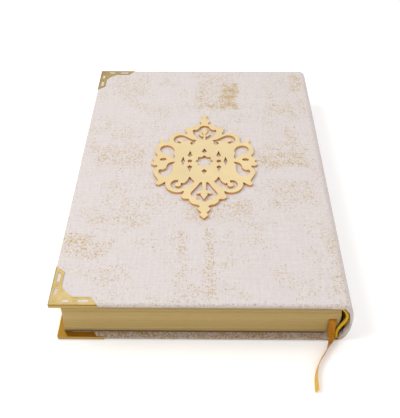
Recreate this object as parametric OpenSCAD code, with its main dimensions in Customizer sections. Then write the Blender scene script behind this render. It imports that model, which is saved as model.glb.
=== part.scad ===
// Prayer book: a hardcover bound at the right, with a rounded spine, printed cloth covers,
// metal corners, a pierced medallion and a ribbon marker.
// X runs across the book (spine at +X), Y from tail to head, Z up. Millimetres.

/* [Cover] */
// length of the covers, tail to head
cover_l = 247; // [200:1:300]
// width of the flat of a cover, fore-edge to the turn of the spine
cover_w = 170.5; // [130:0.5:210]
// how far the rounded spine stands out beyond the flat of the covers
spine_out = 7; // [5:0.5:9]
// strip of bare cloth between the end of a board and the turn of the spine
joint_w = 7; // [6.5:0.5:10]
// thickness of a cover board under the cloth
board_t = 1.85; // [1.5:0.05:3]
// thickness of the printed cloth
cloth_t = 0.4; // [0.3:0.05:0.6]
// thickness of the cloth where it is turned in over the board
turn_t = 0.25; // [0.2:0.05:0.4]
// width of the turned-in cloth
turn_in = 14; // [8:1:25]
// thickness of a pastedown
paste_t = 0.2; // [0.15:0.05:0.4]
// distance of a pastedown from the cover's edges
paste_in = 4; // [2:0.5:8]

/* [Leaves] */
// width of a trimmed leaf
leaf_w = 166; // [120:1:200]
// how far the covers stand out past the leaves at head and tail
square_y = 4.5; // [2:0.5:8]
// thickness of one sewn section
section_t = 1.41; // [1:0.01:2]
// thickness of one turning group of leaves
leaves_t = 0.4; // [0.3:0.05:0.8]
// thickness of a flyleaf
fly_t = 0.2; // [0.15:0.05:0.4]
// clearance between pieces that turn apart
gap = 0.3; // [0.3:0.05:0.5]
// how far the rounded back of the leaves stands out at its middle
round_out = 3; // [1:0.5:5]

/* [Spine] */
// height of the stiff spine panel
panel_h = 20.2; // [16:0.2:24]
// thickness of the spine panel's card
panel_t = 1.2; // [0.6:0.1:2]
// bead diameter of the headband and the tailband
bead_d = 1.8; // [1:0.1:3]
// width of the linen tape behind a band
band_tape_w = 11; // [6:1:20]
// width of one row of sewing thread
thread_w = 0.6; // [0.4:0.1:1]
// rows of sewing along the spine
thread_rows = 5; // [3:1:7]

/* [Corners] */
// length of a metal corner's arm
arm_l = 28.4; // [20:0.2:40]
// width of a metal corner's arm
arm_w = 5.8; // [4:0.1:9]
// thickness of the metal
metal_t = 0.35; // [0.2:0.05:0.6]
// how far the metal stands proud of the cloth
metal_out = 0.15; // [0.1:0.05:0.3]
// height of the pressed rim and dots
rim_h = 0.15; // [0.1:0.05:0.3]
// width of the pressed rim
rim_w = 0.8; // [0.5:0.1:1.5]

/* [Medallion] */
// thickness of the medallion
medal_t = 1.9; // [1:0.1:3]
// size of the medallion against its drawn outline
medal_size = 1; // [0.8:0.01:1.1]

/* [Ribbon] */
// width of the ribbon marker
ribbon_w = 4.4; // [3:0.1:8]
// thickness of the ribbon marker
ribbon_t = 0.3; // [0.2:0.05:0.5]

/* [Hidden] */

eps = 0.01;
section_count = 18;
leaves_count = 4;

// levels, from the table up
cloth_z = metal_out + rim_h;
square_t = cloth_t + board_t + turn_t;
cover_t = square_t + paste_t;
fly_back_z = cloth_z + cover_t + gap;
block_z = fly_back_z + fly_t + gap;
block_top = block_z + section_count * section_t;
leaves_z = block_top + gap;
leaves_pitch = leaves_t + gap;
fly_front_z = leaves_z + leaves_count * leaves_pitch;
inner_z = fly_front_z + fly_t + gap;
top_z = inner_z + cover_t;
mid_z = (cloth_z + top_z) / 2;
half_h = (top_z - cloth_z) / 2;

// across the book
board_end = cover_w - joint_w;
origin_x = (cover_w + spine_out - metal_out) / 2;
origin_y = cover_l / 2;
block_spine_x = cover_w + 1.1;
half_block = (fly_front_z - fly_back_z) / 2;
spine_r = (pow(half_block, 2) + pow(round_out, 2)) / (2 * round_out);
tail_y = square_y;
head_y = cover_l - square_y;

// spine wrap: a rounded curve of this power
wrap_power = 2.3;
panel_f = asin(pow(panel_h / 2 / half_h, wrap_power / 2));

// layers between the folds and the hollow of the spine
thread_t = 0.25;
mull_t = 0.25;
lining_t = 0.4;
tape_t = 0.3;
spine_low_z = block_z + 0.5;
spine_high_z = block_top - 0.3;

// ribbon
ribbon_z = block_z + 9 * section_t;
ribbon_x = block_spine_x - 4.7;
ribbon_knot_l = 3.5;

cloth_colour = [0.90, 0.87, 0.86];
paper_colour = [0.80, 0.72, 0.55];
end_colour = [0.93, 0.90, 0.84];
card_colour = [0.60, 0.57, 0.52];
gold_colour = [0.83, 0.69, 0.38];
thread_colour = [0.93, 0.92, 0.88];
band_colour = [0.82, 0.62, 0.20];
satin_colour = [0.86, 0.60, 0.20];

// ---------- helpers ----------

// puts the book's corner frame into the centred frame
module placed() {
    translate([-origin_x, -origin_y, 0])
        children();
}

// a profile drawn in X and Z, run from y0 to y1
module along_book(y0, y1) {
    translate([0, y1, 0])
        rotate([90, 0, 0])
            linear_extrude(height = y1 - y0)
                children();
}

function spine_x(z) =
    block_spine_x - spine_r + sqrt(pow(spine_r, 2) - pow(z - mid_z, 2));

function fore_x(z) = spine_x(z) - leaf_w;

// point of the spine wrap, d inside the cloth's outer face, at angle f
function wrap(d, f) = [
    cover_w + (spine_out - d) * pow(abs(cos(f)), 2 / wrap_power),
    mid_z + sign(f) * (half_h - d) * pow(abs(sin(f)), 2 / wrap_power)
];

// part of a band that follows the spine wrap, between depths d0 and d1
module wrap_band(d0, d1, f0, f1, steps) {
    polygon(concat(
        [for (i = [0:steps]) wrap(d0, f0 + (f1 - f0) * i / steps)],
        [for (i = [steps:-1:0]) wrap(d1, f0 + (f1 - f0) * i / steps)]
    ));
}

// part of a band that follows the back of the leaves, between depths d0 and d1
module back_band(d0, d1) {
    intersection() {
        difference() {
            translate([block_spine_x - spine_r, mid_z])
                circle(r = spine_r + d1, $fn = 120);
            translate([block_spine_x - spine_r, mid_z])
                circle(r = spine_r + d0, $fn = 120);
        }
        translate([cover_w - 6, spine_low_z])
            square([12, spine_high_z - spine_low_z]);
    }
}

// smooth curve through points
function curve_at(a, b, c, d, t) = 0.5 * (
    2 * b + (c - a) * t + (2 * a - 5 * b + 4 * c - d) * t * t + (3 * b - a - 3 * c + d) * t * t * t
);

function smooth_loop(p, steps) = let (n = len(p)) [
    for (i = [0:n - 1], s = [0:steps - 1])
        curve_at(p[(i + n - 1) % n], p[i], p[(i + 1) % n], p[(i + 2) % n], s / steps)
];

function smooth_run(p, steps) = let (n = len(p)) concat(
    [for (i = [0:n - 2], s = [0:steps - 1])
        curve_at(p[max(i - 1, 0)], p[i], p[i + 1], p[min(i + 2, n - 1)], s / steps)],
    [p[n - 1]]
);

// right half of an outline, top to bottom, closed by its mirror image
function both_sides(p) = concat(
    p,
    [for (i = [len(p) - 2:-1:1]) [-p[i][0], p[i][1]]]
);

// ---------- leaves ----------

module section_profile(z0) {
    zm = z0 + section_t / 2;
    r = section_t / 2;
    polygon(concat(
        [[fore_x(z0), z0]],
        [for (a = [-90:22.5:90]) [spine_x(zm) - r + r * cos(a), zm + r * sin(a)]],
        [[fore_x(z0 + section_t), z0 + section_t], [fore_x(zm), zm]]
    ));
}

module section(index) {
    color(paper_colour)
        placed()
            along_book(tail_y, head_y)
                section_profile(block_z + (index - 1) * section_t);
}

module section_10() {
    color(paper_colour)
        placed()
            difference() {
                along_book(tail_y, head_y)
                    section_profile(ribbon_z);
                translate([ribbon_x - ribbon_w / 2, tail_y - 1, ribbon_z - 1])
                    cube([ribbon_w, cover_l, ribbon_t + 1]);
                translate([ribbon_x, head_y - ribbon_knot_l, ribbon_z - 1])
                    cube([20, cover_l, ribbon_t + 1]);
            }
}

// a flat sheet of the book block, as wide as one leaf
module sheet(z0, t) {
    x1 = spine_x(z0 + t / 2);
    translate([x1 - leaf_w, tail_y, z0])
        cube([leaf_w, head_y - tail_y, t]);
}

// turning leaves, numbered from the top
module turning_leaves(index) {
    color(paper_colour)
        placed()
            sheet(leaves_z + (leaves_count - index) * leaves_pitch, leaves_t);
}

module front_flyleaf() {
    color(end_colour)
        placed()
            sheet(fly_front_z, fly_t);
}

module back_flyleaf() {
    color(end_colour)
        placed()
            sheet(fly_back_z, fly_t);
}

// ---------- spine of the leaves ----------

module sewing_thread() {
    pitch = (head_y - tail_y) / (thread_rows + 1);
    color(thread_colour)
        placed()
            for (i = [1:thread_rows])
                along_book(tail_y + i * pitch - thread_w / 2, tail_y + i * pitch + thread_w / 2)
                    back_band(0, thread_t);
}

module spine_mull() {
    color(thread_colour)
        placed()
            along_book(tail_y + 12, head_y - 12)
                back_band(thread_t, thread_t + mull_t);
}

module spine_lining() {
    color(card_colour)
        placed()
            along_book(tail_y + 5, head_y - 5)
                back_band(thread_t + mull_t, thread_t + mull_t + lining_t);
}

// a corded bead along the inside of the spine, with its tape
module band(y_bead, y0, y1) {
    bead_in = cloth_t + panel_t + tape_t + bead_d / 2 - 0.15;
    x_mid = cover_w + spine_out - bead_in;
    half = panel_h / 2 - 1;
    x_end = wrap(bead_in, asin(pow(half / (half_h - bead_in), wrap_power / 2)))[0];
    r = (pow(half, 2) + pow(x_mid - x_end, 2)) / (2 * (x_mid - x_end));
    turn = asin(half / r);
    translate([x_mid - r, y_bead, mid_z])
        rotate([90, 0, 0])
            rotate([0, 0, -turn])
                rotate_extrude(angle = 2 * turn, $fn = 96)
                    translate([r, 0])
                        circle(d = bead_d, $fn = 24);
    along_book(y0, y1)
        wrap_band(cloth_t + panel_t, cloth_t + panel_t + tape_t, -panel_f * 0.94, panel_f * 0.94, 24);
}

module tailband() {
    color(band_colour)
        placed()
            band(tail_y - 1, tail_y - 1, tail_y - 1 + band_tape_w);
}

module headband() {
    color(band_colour)
        placed()
            band(head_y + 1, head_y + 1 - band_tape_w, head_y + 1);
}

// ---------- spine panel and joints ----------

module spine_board() {
    color(card_colour)
        placed()
            along_book(cloth_t, cover_l - cloth_t)
                wrap_band(cloth_t, cloth_t + panel_t, -panel_f, panel_f, 32);
}

module spine_cloth() {
    color(cloth_colour)
        placed() {
            along_book(0, cover_l)
                wrap_band(0, cloth_t, -panel_f, panel_f, 32);
            along_book(0, cloth_t)
                wrap_band(cloth_t, cloth_t + panel_t, -panel_f, panel_f, 32);
            along_book(cover_l - cloth_t, cover_l)
                wrap_band(cloth_t, cloth_t + panel_t, -panel_f, panel_f, 32);
        }
}

// cloth from the end of the upper board over the turn to the spine panel
module joint_profile() {
    steps = 14;
    from_x = board_end + gap;
    polygon(concat(
        [for (i = [0:steps]) wrap(0, panel_f + (90 - panel_f) * i / steps)],
        [[from_x, top_z], [from_x, top_z - cloth_t]],
        [for (i = [steps:-1:0]) wrap(cloth_t, panel_f + (90 - panel_f) * i / steps)]
    ));
}

module flipped() {
    translate([0, 0, 2 * mid_z])
        mirror([0, 0, 1])
            children();
}

module front_joint_cloth() {
    color(cloth_colour)
        placed()
            along_book(0, cover_l)
                joint_profile();
}

module back_joint_cloth() {
    color(cloth_colour)
        placed()
            flipped()
                along_book(0, cover_l)
                    joint_profile();
}

// the fold of the endpaper between pastedown and flyleaf
module hinge_paper() {
    x0 = board_end + gap;
    translate([x0, tail_y, inner_z])
        cube([cover_w - 1 - x0, head_y - tail_y, paste_t]);
}

module front_hinge_paper() {
    color(end_colour)
        placed()
            hinge_paper();
}

module back_hinge_paper() {
    color(end_colour)
        placed()
            flipped()
                hinge_paper();
}

// ---------- ribbon marker ----------

module ribbon_strip() {
    color(satin_colour)
        placed() {
            translate([ribbon_x - ribbon_w / 2, tail_y, ribbon_z])
                cube([ribbon_w, head_y - tail_y, ribbon_t]);
            translate([ribbon_x, head_y - ribbon_knot_l, ribbon_z])
                cube([7.2, ribbon_knot_l, ribbon_t]);
        }
}

// middle line of the free end: out of the leaves, down over the back cover, along the table
ribbon_route = [
    [ribbon_x, tail_y, ribbon_z + ribbon_t / 2],
    [ribbon_x, tail_y - 1.1, ribbon_z - 0.6],
    [ribbon_x, tail_y - 1.6, ribbon_z - 3.6],
    [ribbon_x, tail_y - 1.9, ribbon_z - 7.6],
    [ribbon_x + 0.1, tail_y - 2.9, ribbon_z - 11.4],
    [ribbon_x + 0.1, -0.2, 3.9],
    [ribbon_x, -1.6, 2.5],
    [ribbon_x - 0.9, -3.6, 1.8],
    [ribbon_x - 2.6, -6.8, 1.9],
    [ribbon_x - 5.4, -11.1, 2.4],
    [ribbon_x - 7.3, -13.9, 2.4],
    [ribbon_x - 9.2, -17.1, 2.35],
    [ribbon_x - 10.7, -20.8, 2.2],
    [ribbon_x - 11.8, -25.2, 2],
    [ribbon_x - 12.2, -30, 1.8],
    [ribbon_x - 12.3, -34.6, 1.7]
];
// turn of the ribbon about its middle line at each of those points
ribbon_turn = [0, 0, 0, 0, 0, 0, 4, 18, 50, 84, 90, 84, 72, 60, 50, 46];

function unit(v) = v / norm(v);

module ribbon_tail() {
    steps = 3;
    line = smooth_run(ribbon_route, steps);
    turn = smooth_run(ribbon_turn, steps);
    n = len(line);
    corners = [
        for (i = [0:n - 1])
            let (
                t = unit(line[min(i + 1, n - 1)] - line[max(i - 1, 0)]),
                u = unit([1, 0, 0] - t[0] * t),
                v = cross(t, u),
                w = cos(turn[i]) * u + sin(turn[i]) * v,
                m = cross(t, w),
                last = (n - 1 - i) / steps,
                half = ribbon_w / 2 * (last < 0.7 ? 0.72 + 0.4 * last : 1)
            )
            for (c = [[1, 1], [-1, 1], [-1, -1], [1, -1]])
                line[i] + c[0] * half * w + c[1] * ribbon_t / 2 * m
    ];
    sides = [
        for (i = [0:n - 2], k = [0:3])
            let (a = 4 * i + k, b = 4 * i + (k + 1) % 4)
            each [[a, a + 4, b], [b, a + 4, b + 4]]
    ];
    ends = [[0, 1, 2], [0, 2, 3], [4 * n - 1, 4 * n - 2, 4 * n - 3], [4 * n - 1, 4 * n - 3, 4 * n - 4]];
    color(satin_colour)
        placed()
            polyhedron(points = corners, faces = concat(sides, ends), convexity = 6);
}

// ---------- metal corners ----------

// arms along the two edges of a cover, joined by a hollow curve
module corner_outline(l, w, reach) {
    c = reach + 6;
    r = norm([c - reach, c - w]);
    a0 = atan2(w - c, reach - c);
    a1 = atan2(reach - c, w - c);
    polygon(concat(
        [[-metal_out, -metal_out], [l, -metal_out], [l - 0.75 * w, w]],
        [for (i = [0:6]) let (a = a0 + (a1 - a0) * i / 6) [c + r * cos(a), c + r * sin(a)]],
        [[w, l - 0.75 * w], [-metal_out, l]]
    ));
}

// two piercings in the arm along X
module corner_piercings() {
    polygon([[6.6, 2], [12, 2], [11.2, 3.9], [8, 3.9]]);
    translate([16.8, 2])
        square([6.2, 1.9]);
}

module in_both_arms() {
    children();
    mirror([1, -1, 0])
        children();
}

// the folded metal with nothing pierced or pressed, in a frame at the corner of the cloth
module corner_metal() {
    translate([0, 0, metal_out - metal_t])
        linear_extrude(height = metal_t)
            corner_outline(arm_l, arm_w, 13.6);
    in_both_arms()
        translate([-metal_out, -metal_out, -square_t - metal_out])
            cube([arm_l + metal_out - 0.4, metal_t, square_t + 2 * metal_out]);
    translate([0, 0, -square_t - metal_out])
        linear_extrude(height = metal_t)
            corner_outline(arm_l - 4, 3.6, 9);
}

module corner() {
    difference() {
        corner_metal();
        translate([0, 0, -0.8])
            linear_extrude(height = 2)
                in_both_arms()
                    corner_piercings();
    }
    translate([0, 0, metal_out])
        linear_extrude(height = rim_h)
            difference() {
                corner_outline(arm_l, arm_w, 13.6);
                translate([-rim_w, -rim_w])
                    corner_outline(arm_l, arm_w, 13.6);
                translate([-5, -5])
                    square([arm_l + 10, 5 + 0.6]);
                translate([-5, -5])
                    square([5 + 0.6, arm_l + 10]);
            }
    in_both_arms()
        translate([14.4, 2.9, metal_out])
            cylinder(h = rim_h, d = 1.4, $fn = 24);
}

// ---------- covers, drawn as the front one: outer face of the cloth at 0, inside below ----------

module at_tail() {
    children();
}

module at_head() {
    translate([0, cover_l, 0])
        mirror([0, 1, 0])
            children();
}

module cover_cloth() {
    difference() {
        translate([0, 0, -square_t])
            cube([board_end, cover_l, square_t]);
        translate([cloth_t, cloth_t, -cloth_t - board_t])
            cube([cover_w, cover_l - 2 * cloth_t, board_t]);
        translate([turn_in, turn_in, -square_t - 1])
            cube([cover_w, cover_l - 2 * turn_in, turn_t + 1 + eps]);
        at_tail()
            corner_metal();
        at_head()
            corner_metal();
    }
}

module cover_board() {
    translate([cloth_t, cloth_t, -cloth_t - board_t])
        cube([board_end - cloth_t, cover_l - 2 * cloth_t, board_t]);
    translate([turn_in, turn_in, -square_t])
        cube([board_end - turn_in, cover_l - 2 * turn_in, turn_t + eps]);
}

module cover_pastedown() {
    difference() {
        translate([paste_in, paste_in, -cover_t])
            cube([board_end - paste_in, cover_l - 2 * paste_in, paste_t]);
        at_tail()
            corner_metal();
        at_head()
            corner_metal();
    }
}

module as_front() {
    placed()
        translate([0, 0, top_z])
            children();
}

module as_back() {
    placed()
        translate([0, 0, cloth_z])
            mirror([0, 0, 1])
                children();
}

module front_cloth() {
    color(cloth_colour)
        as_front()
            cover_cloth();
}

module front_board() {
    color(card_colour)
        as_front()
            cover_board();
}

module front_pastedown() {
    color(end_colour)
        as_front()
            cover_pastedown();
}

module front_corner_head() {
    color(gold_colour)
        as_front()
            at_head()
                corner();
}

module front_corner_tail() {
    color(gold_colour)
        as_front()
            at_tail()
                corner();
}

module back_cloth() {
    color(cloth_colour)
        as_back()
            cover_cloth();
}

module back_board() {
    color(card_colour)
        as_back()
            cover_board();
}

module back_pastedown() {
    color(end_colour)
        as_back()
            cover_pastedown();
}

module back_corner_head() {
    color(gold_colour)
        as_back()
            at_head()
                corner();
}

module back_corner_tail() {
    color(gold_colour)
        as_back()
            at_tail()
                corner();
}

// ---------- medallion ----------

// right half of the outer edge, from the top finial down to the bottom one
medal_edge = [
    [0, 57], [1.5, 55.4], [1.6, 53.4], [1.2, 51.6], [2.6, 49.8], [3.7, 47.6], [2.9, 45.6],
    [2.6, 43.8], [5.2, 43.2], [8, 42], [8.9, 40.4], [10.7, 38.8], [13.2, 40], [14.4, 38.2],
    [14, 34.6], [12.9, 31.9], [14.6, 31], [17.2, 33], [20.4, 33.2], [23.8, 31], [25.9, 27.4],
    [26.3, 23.4], [26.8, 21.2], [29.2, 21.8], [31, 24], [32.4, 25.8], [33.4, 24.4],
    [32.8, 20.8], [34.6, 17.8], [36, 13.6], [35.6, 9.4], [33.8, 6.2], [35.8, 4.4], [37.4, 2.4],
    [36.2, 0.4], [36.8, -1], [38.2, -2.6], [36.2, -4.6], [33.2, -5], [34.8, -7.8], [36, -11.4],
    [34.8, -15.2], [32.8, -18.8], [32.2, -21.2], [33.6, -23.2], [32, -25.2], [29.4, -24],
    [27, -22.2], [26.8, -25.4], [24.8, -29.6], [21, -32.2], [16.8, -32.6], [13.8, -31.4],
    [14.4, -34.2], [15.4, -36.8], [13.6, -38.9], [10.4, -39], [9.6, -41.6], [7.2, -43.9],
    [4.2, -44.8], [2.8, -46.4], [4.4, -48.4], [2.8, -50.6], [1.7, -52], [2.9, -53.8],
    [1.4, -55.8], [0, -57.2]
];

module loop(points) {
    polygon(smooth_loop(points, 3));
}

module ellipse(x, y, rx, ry, turn) {
    translate([x, y])
        rotate(turn)
            polygon([for (a = [0:20:340]) [rx * cos(a), ry * sin(a)]]);
}

module both() {
    children();
    mirror([1, 0, 0])
        children();
}

// opening under the crown, around a palmette
module crown_opening() {
    difference() {
        loop(both_sides([
            [0, 41.8], [3.2, 40.6], [4.6, 37.8], [6.8, 36.5], [8.5, 36.8], [8.9, 34],
            [7.8, 30.4], [5.8, 27.2], [3.2, 24.8], [0, 24]
        ]));
        translate([-0.8, 22])
            square([1.6, 12]);
        ellipse(0, 35.4, 2.1, 4.2, 0);
        both()
            ellipse(2.6, 30.6, 1.1, 2.6, -38);
    }
}

// scroll slot with its round eye, at the upper shoulders
module shoulder_opening() {
    difference() {
        loop([
            [5.8, 24], [9, 24.9], [12.4, 27.5], [16, 29.8], [19.8, 29.7], [22.5, 27.1],
            [23, 23.6], [21.3, 20.9], [18.3, 20.2], [15.8, 21.7], [12.8, 23.4], [9.4, 22.9]
        ]);
        ellipse(18.1, 24.2, 1.9, 1.9, 0);
        polygon([[16.3, 23.6], [18.2, 22.4], [15.6, 19.4], [13.4, 21]]);
    }
    ellipse(8.7, 20.6, 1.8, 2.2, 20);
    polygon([[6.2, 23.8], [8.4, 24], [9.4, 21.4], [7.4, 21]]);
}

module hip_opening() {
    difference() {
        loop([
            [10.2, -16.8], [11.8, -20.7], [14.8, -23.6], [18, -20.4], [21, -20.6], [23.1, -23.4],
            [22.7, -27], [19.9, -29.3], [16, -29.2], [12.4, -27.5], [9, -24.8], [6.9, -21.6],
            [8.4, -19.6]
        ]);
        ellipse(18.1, -24.9, 2, 1.9, 0);
        polygon([[16.4, -24.4], [18.6, -23.2], [17.2, -19.4], [14.2, -20.4]]);
    }
}

module side_openings() {
    loop([
        [27, 17.9], [30.4, 17.3], [32.4, 14.6], [32, 10.9], [29.8, 8.7], [27.2, 8], [24.6, 5.6],
        [22.2, 2.6], [21.3, 5.2], [22.3, 8.4], [21.9, 12], [23.7, 16]
    ]);
    ellipse(29.7, 1.8, 2.5, 1.6, -8);
    loop([
        [20.9, -0.9], [24.2, -1.2], [26.5, -3.6], [27.3, -7.4], [29.4, -9.3], [31.9, -9.3],
        [32.2, -12.6], [29.6, -15.4], [26.2, -15.6], [23.4, -12.6], [22.4, -7.6], [22.5, -3.4]
    ]);
}

// opening over the lower finial, around a hanging leaf
module drop_opening() {
    difference() {
        loop(both_sides([
            [0, -22.4], [2.7, -22.6], [5.4, -27.2], [9.2, -33.4], [8.2, -36.2], [5.7, -36.2],
            [5.1, -39.6], [2.6, -40.8], [0, -42]
        ]));
        polygon([[-1.6, -21], [1.6, -21], [1, -32], [-1, -32]]);
        both()
            ellipse(2.5, -32.2, 1.1, 3, 58);
        polygon([[0, -39.4], [2.6, -34.4], [1.2, -31], [-1.2, -31], [-2.6, -34.4]]);
    }
}

// plain geometric piercing of the middle panel: an eight-pointed star between lozenges
module panel_piercing() {
    for (a = [0, 45])
        rotate(a)
            square(9.2, center = true);
    both() {
        ellipse(10.4, 0, 1.7, 1.7, 0);
        polygon([[13.9, 0], [15.3, 5], [16.7, 0], [15.3, -5]]);
        polygon([[8.6, 6], [10.4, 11.6], [12.2, 6], [10.4, 4.4]]);
        polygon([[8.6, -6], [10.4, -11.6], [12.2, -6], [10.4, -4.4]]);
    }
    for (s = [1, -1])
        polygon([[-2, 10.6 * s], [0, 14.4 * s], [2, 10.6 * s], [0, 8.6 * s]]);
}

module medallion() {
    color(gold_colour)
        translate([0.6, 1.7, top_z])
            linear_extrude(height = medal_t)
                scale(medal_size)
                    difference() {
                        loop(both_sides(medal_edge));
                        crown_opening();
                        drop_opening();
                        panel_piercing();
                        both() {
                            shoulder_opening();
                            hip_opening();
                            side_openings();
                        }
                    }
}

// ---------- nodes ----------

section(1);  // section_01
section(2);  // section_02
section(3);  // section_03
section(4);  // section_04
section(5);  // section_05
section(6);  // section_06
section(7);  // section_07
section(8);  // section_08
section(9);  // section_09
section_10();
section(11);  // section_11
section(12);  // section_12
section(13);  // section_13
section(14);  // section_14
section(15);  // section_15
section(16);  // section_16
section(17);  // section_17
section(18);  // section_18
sewing_thread();
spine_mull();
spine_lining();
headband();
tailband();
ribbon_strip();
ribbon_tail();
spine_board();
spine_cloth();
front_joint_cloth();
back_joint_cloth();
front_hinge_paper();
back_hinge_paper();
turning_leaves(1);  // leaves_1
turning_leaves(2);  // leaves_2
turning_leaves(3);  // leaves_3
turning_leaves(4);  // leaves_4
front_flyleaf();
back_flyleaf();
front_board();
front_cloth();
front_pastedown();
front_corner_head();
front_corner_tail();
medallion();
back_board();
back_cloth();
back_pastedown();
back_corner_head();
back_corner_tail();
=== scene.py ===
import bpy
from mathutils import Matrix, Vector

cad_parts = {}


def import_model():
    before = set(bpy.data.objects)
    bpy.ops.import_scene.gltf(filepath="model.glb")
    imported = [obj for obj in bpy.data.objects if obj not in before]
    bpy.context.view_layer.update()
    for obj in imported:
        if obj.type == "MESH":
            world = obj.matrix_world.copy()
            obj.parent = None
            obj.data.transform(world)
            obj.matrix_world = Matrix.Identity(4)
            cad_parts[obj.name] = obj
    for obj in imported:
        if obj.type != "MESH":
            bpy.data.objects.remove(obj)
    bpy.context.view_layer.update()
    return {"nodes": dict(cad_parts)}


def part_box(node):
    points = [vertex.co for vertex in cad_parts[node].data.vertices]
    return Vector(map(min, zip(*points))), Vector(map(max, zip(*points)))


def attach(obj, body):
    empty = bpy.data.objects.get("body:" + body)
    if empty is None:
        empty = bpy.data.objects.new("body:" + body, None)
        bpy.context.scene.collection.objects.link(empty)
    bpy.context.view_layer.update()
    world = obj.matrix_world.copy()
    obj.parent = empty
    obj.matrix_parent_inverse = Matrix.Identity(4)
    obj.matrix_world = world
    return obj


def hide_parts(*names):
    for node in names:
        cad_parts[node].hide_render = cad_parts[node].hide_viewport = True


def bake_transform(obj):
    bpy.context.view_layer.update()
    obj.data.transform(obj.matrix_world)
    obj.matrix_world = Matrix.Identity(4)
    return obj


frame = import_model()

import math
import random

import bmesh
import bpy
from mathutils import Matrix, Vector

MM = 0.001

# ---------------------------------------------------------------- sizes, in mm
# The corner frame has x = 0 at the fore-edge of the cloth, y = 0 at its tail edge and z = 0 on the table.
# The sizes that can't be read from the frame are the CAD source's own driving sizes.
cloth_lo, cloth_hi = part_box("front_cloth")
X0 = cloth_lo[0] / MM
Y0 = cloth_lo[1] / MM
TOP = cloth_hi[2] / MM
COVER_L = (cloth_hi[1] - cloth_lo[1]) / MM
BOARD_END = (cloth_hi[0] - cloth_lo[0]) / MM
TOTAL_W = (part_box("spine_cloth")[1][0] - cloth_lo[0]) / MM
SQUARE_T = (cloth_hi[2] - cloth_lo[2]) / MM
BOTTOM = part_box("back_cloth")[0][2] / MM
MID = (TOP + BOTTOM) / 2
HALF_H = (TOP - BOTTOM) / 2
COVER_W = 170.5
SPINE_OUT = TOTAL_W - COVER_W
CLOTH_T = 0.4
PANEL_T = 1.2
PANEL_H = 20.2
WRAP_POWER = 2.3
TAIL_Y = 4.5
HEAD_Y = COVER_L - TAIL_Y
LEAF_W = 166
SECTION_T = 1.41
ROUND_OUT = 3
BLOCK_SPINE = COVER_W + 1.1
PANEL_F = math.degrees(math.asin((PANEL_H / 2 / HALF_H) ** (WRAP_POWER / 2)))
BACK_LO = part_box("back_flyleaf")[0][2] / MM
BACK_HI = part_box("front_flyleaf")[0][2] / MM
HALF_BLOCK = (BACK_HI - BACK_LO) / 2
SPINE_R = (HALF_BLOCK ** 2 + ROUND_OUT ** 2) / (2 * ROUND_OUT)

# of the visual model alone, in mm: cut leaves drawn for a section, and one turn of silk along a band
LEAVES_IN_SECTION = 16
SILK_TURN = 1.25

# pitches of threads, in metres, as the shaders read them
WEAVE_PITCH = 0.00062
LINEN_PITCH = 0.0009
SATIN_THREAD = 0.00030
SATIN_WEFT = 0.00035
SILK_THREAD = 0.00021


def world(x, y, z):
    """A point of the corner frame, in metres in the row frame."""
    return Vector(((x + X0) * MM, (y + Y0) * MM, z * MM))


def wrap(d, f):
    """Point (x, z) of the spine wrap, d inside the cloth's face, at angle f in degrees."""
    c, s = math.cos(math.radians(f)), math.sin(math.radians(f))
    p = 2 / WRAP_POWER
    x = COVER_W + (SPINE_OUT - d) * max(c, 0) ** p
    return x, MID + math.copysign((HALF_H - d) * abs(s) ** p, f)


def spine_x(z):
    """Where the rounded back of the leaves lies at height z."""
    return BLOCK_SPINE - SPINE_R + math.sqrt(SPINE_R ** 2 - (z - MID) ** 2)


# ---------------------------------------------------------------- camera and light
CAMERA_PLACE = (90.5, -201.4, 315.1)
CAMERA_YAW = -0.79
CAMERA_PITCH = 44.98
CAMERA_ROLL = -0.30
CAMERA_LENS = 51.2
KEY_PLACE = (-0.95, -0.15, 1.15)
KEY_TARGET = (0, 0.02, 0)
KEY_SIZE = 0.8
KEY_POWER = 10


def aim(obj, place, yaw, pitch, roll):
    """Puts obj at place, looking along yaw and pitch in degrees, with roll about its view."""
    yaw, pitch, roll = (math.radians(v) for v in (yaw, pitch, roll))
    ahead = Vector((math.sin(yaw) * math.cos(pitch), math.cos(yaw) * math.cos(pitch), -math.sin(pitch)))
    right = Vector((math.cos(yaw), -math.sin(yaw), 0))
    up = right.cross(ahead)
    r = right * math.cos(roll) + up * math.sin(roll)
    u = up * math.cos(roll) - right * math.sin(roll)
    m = Matrix((r, u, -ahead)).transposed().to_4x4()
    m.translation = place
    obj.matrix_world = m


camera_data = bpy.data.cameras.new("camera")
camera = bpy.data.objects.new("camera", camera_data)
bpy.context.scene.collection.objects.link(camera)
bpy.context.scene.camera = camera
camera_data.sensor_width = 36
camera_data.lens = CAMERA_LENS
camera_data.clip_start = 0.01
camera_data.clip_end = 20
aim(camera, world(*CAMERA_PLACE), CAMERA_YAW, CAMERA_PITCH, CAMERA_ROLL)

bpy.context.scene.view_settings.view_transform = "Standard"


def key_light():
    """A soft square lamp from the upper left, for the shading of the cloth and the metal."""
    data = bpy.data.lights.new("key", "AREA")
    data.shape = "RECTANGLE"
    data.size = data.size_y = KEY_SIZE
    data.energy = KEY_POWER
    lamp = bpy.data.objects.new("key", data)
    bpy.context.scene.collection.objects.link(lamp)
    turn = (Vector(KEY_TARGET) - Vector(KEY_PLACE)).to_track_quat("-Z", "Y")
    lamp.matrix_world = Matrix.Translation(KEY_PLACE) @ turn.to_matrix().to_4x4()


key_light()


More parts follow.
